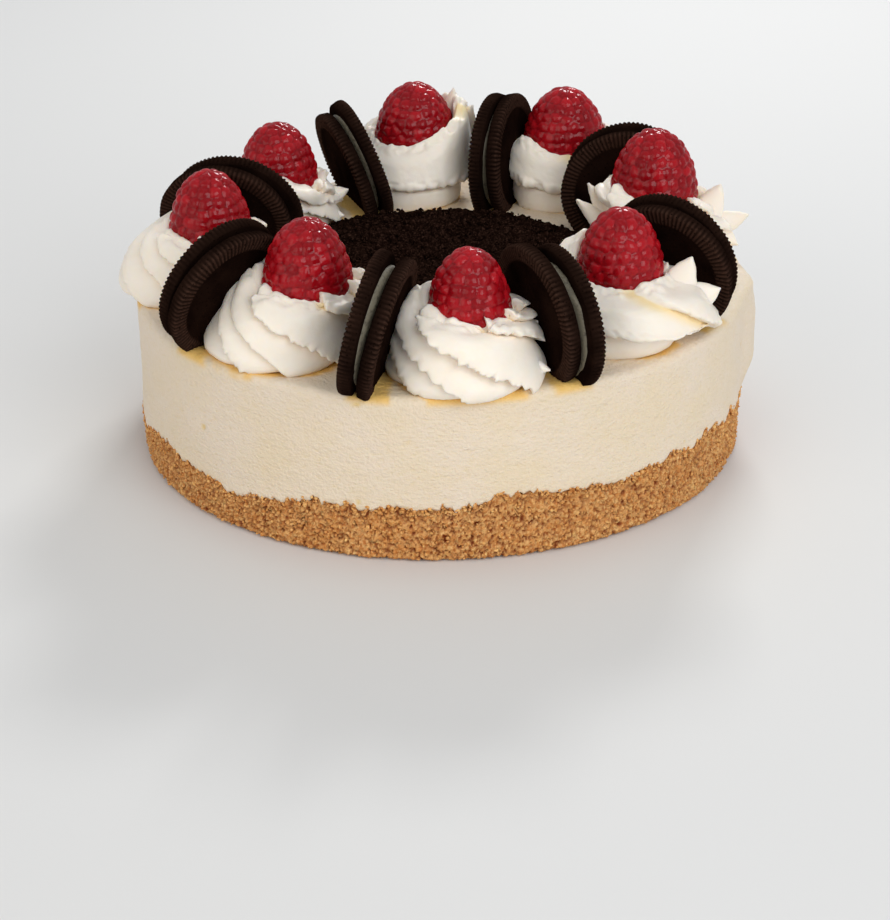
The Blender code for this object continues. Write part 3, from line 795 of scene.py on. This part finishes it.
def base_crumbs(material):
    """Grains that stand out of the pressed side, closest along its ragged top."""
    rng = np.random.default_rng(SEED + 2)
    count = SIDE_CRUMBS
    azimuth = rng.uniform(0, TAU, count)
    top = joint_height(azimuth)
    fringe = rng.uniform(0, 1, count) < FRINGE_SHARE
    level = np.where(fringe, top + rng.uniform(-1.6, 0.55, count) * MM,
                     rng.uniform(0.05, 0.97, count) * top)
    size = (0.3 + 0.5 * rng.uniform(0, 1, count) ** 2) * MM
    sunk = np.where(fringe, 0.3, 0.6) * size + np.where(fringe, 0.0, 0.4) * MM
    centres = polar(CAKE_RADIUS - sunk, azimuth, np.maximum(level, 1.3 * size))
    mesh = scattered("biscuit_crumbs_of_the_side", centres, size, SEED + 4)
    place(mesh, material, "biscuit_base")


def loose_crumbs(material):
    """Loose crumbs on the heap, and a few that rolled onto the filling beside it."""
    rng = np.random.default_rng(SEED)
    count = LOOSE_CRUMBS
    angle = rng.uniform(0, TAU, count)
    edge = topping_edge(angle)
    part = np.sqrt(rng.uniform(0, 1, count)) * 0.985
    stray = rng.uniform(0, 1, count) < STRAY_SHARE
    part = np.where(stray, 1.0 + rng.uniform(0.0, 0.05, count), part)
    size = (0.35 + 0.75 * rng.uniform(0, 1, count) ** 2.2) * MM * np.where(stray, 0.6, 1.0)
    under = np.where(stray, 0.0, heap_height(part))
    centres = polar(edge * part, angle, SHELF + under + 0.25 * size)
    mesh = scattered("loose_dark_crumbs", centres, size, SEED + 92)
    place(mesh, material, "crumb_topping")


# Rosettes

def flap(tip, root, width, seed):
    """Rings of a thin torn petal, from its root to its tip, with its face to the outside of the cake."""
    tip, root = np.array(tip) * MM, np.array(root) * MM
    along = tip - root
    length = np.linalg.norm(along)
    across = np.cross(along, (0.0, -1.0, 0.35))
    across /= np.linalg.norm(across)
    face = np.cross(along / length, across)
    rows, columns = FLAP_GRID
    share = np.linspace(0, 1, rows)[:, None]
    turn = once_round(columns)[None]
    half = np.maximum(0.5 * width * MM * (1 - share**2.2) ** 0.8, 0.3 * MM)
    thick = (1.9 - 1.4 * share) * MM
    middle = root + along * share + face * (0.05 * length * 4 * share * (1 - share))
    torn = 0.35 * MM * swell(np.concatenate([middle, middle + 0.01]), 1.1 * MM, seed, 2)
    side = np.where(np.cos(turn) > 0, torn[:rows, None], torn[rows:, None])
    reach = (half + side) * np.sign(np.cos(turn)) * np.abs(np.cos(turn)) ** 0.8
    return (middle[:, None] + across * reach[..., None]
            + face * (thick * np.sin(turn) + 0.06 * length * (reach / half) ** 2 * share)[..., None])


def ridge_columns(starts):
    """The points round a rosette: the ridge of each, its place across it, how far it stands out and
    how far it is folded over. Wide ridges get more points, so that all of them are torn as finely."""
    lobe = np.vstack([LOBE, [(1 + LOBE[0][0], LOBE[0][1], LOBE[0][2])]])
    smooth = along_curve(lobe * (1, 0.08, 0.08), 240) / (1, 0.08, 0.08)
    parts = []
    for breadth in np.degrees(np.diff(starts)):
        more_points = max(0, round(breadth / WIDEST_COLUMN) - len(ACROSS))
        parts.append(np.sort(np.concatenate([ACROSS, np.linspace(0.14, 0.86, more_points)])))
    part = np.concatenate(parts)
    which = np.repeat(np.arange(len(parts)), [len(own) for own in parts])
    out = np.interp(part, smooth[:, 0], smooth[:, 1])
    fold = np.interp(part, smooth[:, 0], smooth[:, 2])
    return which, part, out, fold


def outline_of(number, radius, height):
    """A rosette's outline from its foot to the berry as shares of its radius and height, the
    direction of the outline, its rise from 0 to 1, and how far the swirl has wound."""
    berry_radius = BERRIES[number][2] * MM
    rim = [(berry_radius / radius + gap * MM / radius, level) for gap, level in RIM_PROFILE]
    body = STEPPED_PROFILE if ROSETTES[number][4] else ROUND_PROFILE
    profile = along_curve(body + tuple(rim), ROSETTE_ROWS)
    slope = np.gradient(profile * (radius, height), axis=0)
    slope /= np.linalg.norm(slope, axis=1)[:, None]
    rise = np.clip(profile[:, 1], 0, 1)
    # Past the crest the swirl goes on inwards at the same pace
    wound = np.where(np.arange(ROSETTE_ROWS) > np.argmax(profile[:, 1]), 2 - rise, rise)
    return profile, slope, rise, wound


def ring_middles(number, rise, wound):
    """The middle of each ring of a rosette, from its own centre to that of the berry."""
    centre = np.array((*ROSETTES[number][:2], 0)) * MM
    seat = np.array((*BERRIES[number][:2], 0)) * MM
    middle = centre + (seat - centre) * np.minimum(wound, 1.0)[:, None] ** 3
    if number in FIRST_TURN_SHIFTS:
        shift = np.array((*FIRST_TURN_SHIFTS[number], 0)) * MM
        middle = middle + shift * ((1 - steps(rise, 0.30, 0.43)) * (wound < 1))[:, None]
    return middle


def climb(number, angle, rise, wound, height):
    """How far each point of a rosette is raised, where its top climbs and where its step tilts."""
    degrees = np.degrees(angle)
    lift = np.zeros(angle.shape)
    for azimuth, top, half in RISES[number]:
        turn = apart(degrees, azimuth) / half
        crown = steps(wound, 0.35, 1.0) * (1 - 0.6 * steps(wound, 1.05, 1.3))
        lift += top * MM * (1 - steps(turn, 0.0, 1.0)) * crown[:, None]
    if number in STEP_TILTS:
        azimuth, tilt = STEP_TILTS[number]
        near_step = steps(rise, 0.0, 0.42) * (1 - steps(rise, 0.5, 0.95)) * (wound <= 1)
        lift += tilt * height * np.cos(np.radians(degrees - azimuth)) * near_step[:, None]
    return lift


def rosette(number, material):
    """A swirl from a star nozzle: folded, torn ridges wind up a low dome to the berry."""
    rng = np.random.default_rng(SEED + 10 * number)
    x, y, radius, height, stepped = ROSETTES[number]
    radius, height = radius * MM * BODY_SHARES[number], height * MM
    profile, slope, rise, wound = outline_of(number, radius, height)
    even, more, power = TWISTS[number]
    twist = np.radians(even * wound + more * np.minimum(wound, 1.0) ** power)
    starts = np.radians(RIDGES[number] + (RIDGES[number][0] + 360,))
    which, part, out, fold = ridge_columns(starts)
    lobes = len(RIDGES[number])
    width = np.diff(starts)[which]
    size = np.clip(width / (TAU / 7), 0.6, 1.3)
    strength = size * rng.uniform(0.85, 1.15, lobes)[which] * (0.6 if stepped else 1.0)
    torn = rng.choice((0.45, 0.6, 0.8), lobes, p=(0.25, 0.35, 0.4))[which]
    angle = starts[which] + width * part + twist[:, None]
    outward = polar(1.0, angle, 0.0)
    around = polar(1.0, angle + math.pi / 2, 0.0)
    up = np.array((0.0, 0.0, 1.0))
    normal = outward * slope[:, None, 1:2] - up * slope[:, None, 0:1]
    downhill = -(outward * slope[:, None, 0:1] + up * slope[:, None, 1:2])
    skin = ring_middles(number, rise, wound)[:, None]
    skin = skin + outward * (profile[:, 0] * radius)[:, None, None]
    skin = skin + up * (SHELF + profile[:, 1] * height)[:, None, None]
    flat = skin.reshape(-1, 3)

    def waves(size, seed, octaves=1):
        return swell(flat, size * MM, SEED + seed + number, octaves).reshape(angle.shape)

    fade = np.minimum(1.0, 0.7 + 2.2 * rise) * (1 - 0.45 * steps(wound, 0.9, 1.2))
    if stepped:
        fade = fade * (1 - 0.7 * steps(wound, 0.8, 1.0))
    deep = (out * strength)[None] * (LOBE_DEPTH * fade)[:, None]
    deep = deep + (0.35 * waves(8, 100) + 0.14 * waves(1.6, 110, 2)) * MM
    rag = 0.8 * waves(0.75, 120) + 0.5 * waves(2.8, 130)
    deep = deep + 0.6 * MM * torn * fold * rag
    fold_over = fold * strength * (1 + 0.7 * torn * rag) * (LOBE_LEAN * fade)[:, None]
    if stepped:
        # Torn lip of the step
        lip = steps(rise, 0.40, 0.44) * (1 - steps(rise, 0.46, 0.56)) * (wound < 0.9)
        ragged = 0.9 * waves(1.5, 170) + 1.0 * waves(5.0, 180)
        deep = deep + LIP_TEARS[number] * MM * ragged * lip[:, None]
    skin = skin + normal * deep[..., None] + (0.8 * downhill - 0.6 * around) * fold_over[..., None]
    # Torn upper edge against the berry
    edge = steps(wound, 0.92, 1.0) * (1 - steps(wound, 1.04, 1.2))
    tear = 1.1 * MM * (0.7 * waves(1.4, 140) + 0.8 * waves(4.5, 150)) * edge[:, None]
    skin = skin + up * (climb(number, angle, rise, wound, height) + tear)[..., None]
    skin[..., 2] = np.maximum(skin[..., 2], SHELF - 0.6 * MM)
    foot = np.array((x * MM, y * MM, SHELF))
    berry_x, berry_y = BERRIES[number][:2]
    shells = [(skin, foot - up * 0.6 * MM, (berry_x * MM, berry_y * MM, skin[-1, :, 2].mean()))]
    # Painted yellow shade in the grooves under the lips; none on the flaps
    shade = [(steps(-out, 0.35, 0.95)[None] * np.ones((ROSETTE_ROWS, 1))).reshape(-1), [0, 0]]
    for tip, root, breadth in FLAPS[number]:
        rings = flap(tip, root, breadth, SEED + 160 + len(shells)) + foot
        shells.append((rings, rings[0].mean(0), rings[-1].mean(0)))
        shade.append(np.zeros(rings.shape[0] * rings.shape[1] + 2))
    mesh = rings_mesh(f"piped_rosette_{number + 1}", *shells)
    note(mesh, "fold", np.concatenate(shade))
    place(mesh, material, f"cream_rosette_{number + 1}")


# Raspberries

def thimble(share):
    """Radius of a berry at a share of its height, as a share of its largest radius."""
    shoulder = (1 - (np.maximum(0.0, share - 0.14) / 0.86) ** 2.3) ** 0.56
    return shoulder * (1 - 0.24 * np.maximum(0.0, 1 - share / 0.22) ** 2)


def raspberry(number, material):
    """A thimble of packed drupelets, opening down, with a dimple at its tip."""
    rng = np.random.default_rng(SEED + 300 + number)
    x, y, radius, height = BERRIES[number]
    floor = CAKE_HEIGHT + 0.6 * MM + ROSETTES[number][3] * MM - BERRY_SINK
    radius, height = (radius - 0.2) * MM, (height - 0.1) * MM
    outline = along_curve([(thimble(np.array(s)) * radius, s * height) for s in
                           (0, 0.06, 0.14, 0.25, 0.4, 0.55, 0.68, 0.79, 0.88, 0.945, 0.985, 1.0)], 400)
    length = np.concatenate([[0], np.cumsum(np.linalg.norm(np.diff(outline, axis=0), axis=1))])

    def at(distance):
        return np.stack([np.interp(distance, length, outline[:, k]) for k in (0, 1)], -1)

    middles = []
    row, distance = 0, 0.3 * DRUPELET
    while distance < length[-1] - 0.2 * DRUPELET:
        reach = at(distance)[0]
        count = max(1, round(TAU * reach / (DRUPELET * 1.02)))
        start = rng.uniform(0, TAU) if row == 0 else start + math.pi / count
        for k in range(count):
            a = start + (k + rng.uniform(-0.22, 0.22)) * TAU / count
            spot = at(distance + rng.uniform(-0.2, 0.2) * DRUPELET)
            middles.append((spot[0] * math.cos(a), spot[0] * math.sin(a), spot[1]))
        distance += DRUPELET * 0.88
        row += 1
    middles = np.array(middles)
    columns, rows = BERRY_GRID
    angle = once_round(columns)
    skin, seam_shades, tones, tips = [], [], [], []
    own_tone = rng.uniform(0, 1, len(middles))
    own_rise = rng.uniform(0.8, 1.12, len(middles))
    for distance in np.linspace(0, length[-1] * 0.992, rows):
        spot = at(distance)
        ahead = at(min(distance + 0.4 * MM, length[-1])) - at(max(distance - 0.4 * MM, 0))
        ahead /= np.linalg.norm(ahead)
        ring = polar(spot[0], angle, spot[1])
        gap = np.linalg.norm(ring[:, None] - middles[None], axis=-1)
        order = np.argpartition(gap, 1, axis=1)
        nearest = order[:, 0]
        first, second = np.take_along_axis(gap, order[:, :2], 1).T
        split = first / np.maximum(0.5 * (first + second), 1e-9)
        dome = np.sqrt(np.maximum(0, 1 - split**2.3)) * own_rise[nearest]
        near_tip = steps(np.full(columns, distance / length[-1]), 0.72, 1.0)
        lift = DRUPELET_RISE * (dome - 0.35) * (1 - 0.45 * near_tip)
        normal = polar(ahead[1], angle, -ahead[0])
        skin.append(ring + normal * lift[:, None])
        # Painted shade in the grooves between drupelets, half as much at the tip
        seam_shades.append(steps(split, 0.84, 1.0) * (1 - 0.5 * near_tip))
        tones.append(own_tone[nearest])
        tips.append(near_tip)
    skin = np.stack(skin) + (x * MM, y * MM, floor)
    low = (x * MM, y * MM, floor + 0.3 * MM)
    high = (x * MM, y * MM, skin[-1, :, 2].mean() - 0.1 * MM)
    mesh = rings_mesh(f"fresh_raspberry_{number + 1}", (skin, low, high))
    note(mesh, "crack", np.concatenate(seam_shades))
    note(mesh, "tone", np.concatenate(tones))
    note(mesh, "tip", np.concatenate(tips))
    place(mesh, material, f"raspberry_{number + 1}")


# Sandwich biscuits

def wafer_matrix(number, side):
    """Place of one wafer: its outer face is at +Z of its own frame."""
    azimuth, reach, height, twist, lean, parting, slip_up, slip_out = BISCUITS[number]
    spot = Vector(polar(reach * MM, math.radians(azimuth), height * MM))
    along = Vector(polar(1.0, math.radians(azimuth + twist), 0.0))
    across = Vector((-along.y, along.x, 0.0))
    normal = across * math.cos(math.radians(lean)) + Vector((0, 0, math.sin(math.radians(lean))))
    outward = side * (Matrix.Rotation(-side * math.radians(parting) / 2, 3, along) @ normal)
    shift = normal * WAFER_SPACING + (along.cross(normal) * slip_up + along * slip_out) * MM
    return framed(along, outward.cross(along), outward, spot + shift * (side / 2))


def carried(points, matrix):
    return points @ np.array(matrix.to_3x3()).T + np.array(matrix.translation)


def wafer(number, side, material):
    """A moulded wafer: flat inside, radial bars round the rim of its outer face, whose ends make
    the edge toothed."""
    columns = WAFER_TEETH * 4
    angle = once_round(columns)
    half = WAFER_THICKNESS / 2
    inset, down, barred, toothed = np.array(WAFER_SECTION).T[:, :, None]
    bar = np.abs(np.sin(angle * WAFER_TEETH / 2 + number)) ** 0.8
    ring = polar(WAFER_RADIUS - inset * MM - WAFER_TOOTH * toothed * (1 - bar), angle,
                 half - down * MM - WAFER_BAR * barred * (1 - bar))
    flat = ring.reshape(-1, 3)
    seed = SEED + 400 + 2 * number + (side > 0)
    rough = 0.10 * swell(flat, 5 * MM, seed) + 0.07 * swell(flat, 1.3 * MM, seed + 40, 2)
    chips, chance = grains(flat, 2.6 * MM, seed + 80)
    rim = np.hypot(flat[:, 0], flat[:, 1]) > WAFER_RADIUS - 2 * MM
    chip = steps(0.4 - chips, 0.0, 0.2) * (chance > 0.93) * rim
    push = (rough - 0.45 * chip) * MM
    away = np.stack([flat[:, 0], flat[:, 1], 6 * flat[:, 2]], -1)
    flat = flat + away / np.linalg.norm(away, axis=1)[:, None] * push[:, None]
    matrix = wafer_matrix(number, side)
    skin = carried(flat, matrix).reshape(ring.shape)
    low = carried(np.array([(0, 0, -half)]), matrix)[0]
    high = carried(np.array([(0, 0, half - 0.65 * MM)]), matrix)[0]
    word = "far" if side > 0 else "near"
    mesh = rings_mesh(f"ridged_wafer_{number + 1}_{word}", (skin, low, high))
    # Painted highlight on the crests of the bars and teeth
    bar_highlight = np.clip(barred + 0.6 * toothed, 0, 1) * bar**2
    note(mesh, "bar_highlight", bar_highlight.reshape(-1))
    place(mesh, material, f"biscuit_{number + 1}_wafer_{word}")


def biscuit_cream(number, material):
    """The disc of cream between two wafers, a little squeezed out and uneven at its edge."""
    angle = once_round(BISCUIT_CREAM_COLUMNS)
    near, far = wafer_matrix(number, -1), wafer_matrix(number, 1)
    inner = -WAFER_THICKNESS / 2 + 0.05 * MM
    rings = []
    for share in (0.0, 0.0, 0.12, 0.3, 0.5, 0.7, 0.88, 1.0, 1.0):
        inset = 5 * MM if len(rings) in (0, 8) else 0.0
        reach = BISCUIT_CREAM_RADIUS - inset + 0.5 * MM * math.sin(math.pi * share)
        rim = polar(reach, angle, inner)
        reach = reach + 0.5 * MM * swell(rim + share * 0.002, 4 * MM, SEED + 500 + number, 2)
        here = carried(polar(reach, angle, inner), near)
        there = carried(polar(reach, -angle, inner), far)
        rings.append(here + (there - here) * share)
    low = carried(np.array([(0, 0, inner)]), near)[0]
    high = carried(np.array([(0, 0, inner)]), far)[0]
    rings = np.stack(rings)
    middle = (low + high) / 2
    if np.dot(np.cross(rings[4, 0] - middle, rings[4, 1] - middle), high - low) < 0:
        rings = rings[:, ::-1]
    mesh = rings_mesh(f"biscuit_filling_{number + 1}", (rings, low, high))
    place(mesh, material, f"biscuit_{number + 1}_cream")


# Studio

def camera():
    data = bpy.data.cameras.new("camera")
    data.lens = LENS_MM
    data.sensor_width = 36.0
    data.clip_start = 0.02
    view = stand("camera", data)
    view.matrix_world = framed(CAMERA_RIGHT, CAMERA_UP, -Vector(CAMERA_FORWARD), CAMERA_SPOT)
    bpy.context.scene.camera = view


def softbox(name, spot, target, size, power, tint):
    data = bpy.data.lights.new(name, "AREA")
    data.shape = "RECTANGLE"
    data.size, data.size_y = size
    data.energy = power
    data.color = tint
    light = stand(name, data)
    light.location = spot
    light.rotation_euler = (Vector(target) - Vector(spot)).to_track_quat("-Z", "Y").to_euler()


def studio():
    world = bpy.data.worlds.new("studio")
    bpy.context.scene.world = world
    world.use_nodes = True
    room = world.node_tree.nodes["Background"].inputs
    room["Color"].default_value = ROOM_TINT
    room["Strength"].default_value = ROOM_STRENGTH
    for light in LIGHTS:
        softbox(*light)
    material, tree, shader, at = finish("painted_board", Roughness=0.7)
    mottle = tinted(tree, noise(tree, at, 500.0, 2.0), "DEDCD9", "E2E0DE")
    tree.links.new(mottle, shader.inputs["Base Color"])
    board = bpy.data.meshes.new("floor")
    corners = [(-1, -1), (1, -1), (1, 1), (-1, 1)]
    board.from_pydata([(FLOOR_HALF * x, FLOOR_HALF * y, 0) for x, y in corners], [], [(0, 1, 2, 3)])
    board.materials.append(material)
    floor = stand("floor", board)
    # A hair lower than the cake, so that the two don't flicker
    floor.location.z = -0.3 * MM
    bpy.context.scene.view_settings.view_transform = "Standard"
    bpy.context.scene.view_settings.look = "None"


def main():
    camera()
    studio()
    biscuit = baked_crumb()
    crumb_base(biscuit)
    base_crumbs(biscuit)
    filling(cheese_filling())
    crumbs = dark_crumb()
    crumb_heap(crumbs)
    loose_crumbs(crumbs)
    cream, skin = whipped_cream(), raspberry_skin()
    cocoa, sugar = cocoa_wafer(), sugar_cream()
    for number in range(len(ROSETTES)):
        rosette(number, cream)
        raspberry(number, skin)
        wafer(number, -1, cocoa)
        wafer(number, 1, cocoa)
        biscuit_cream(number, sugar)


main()
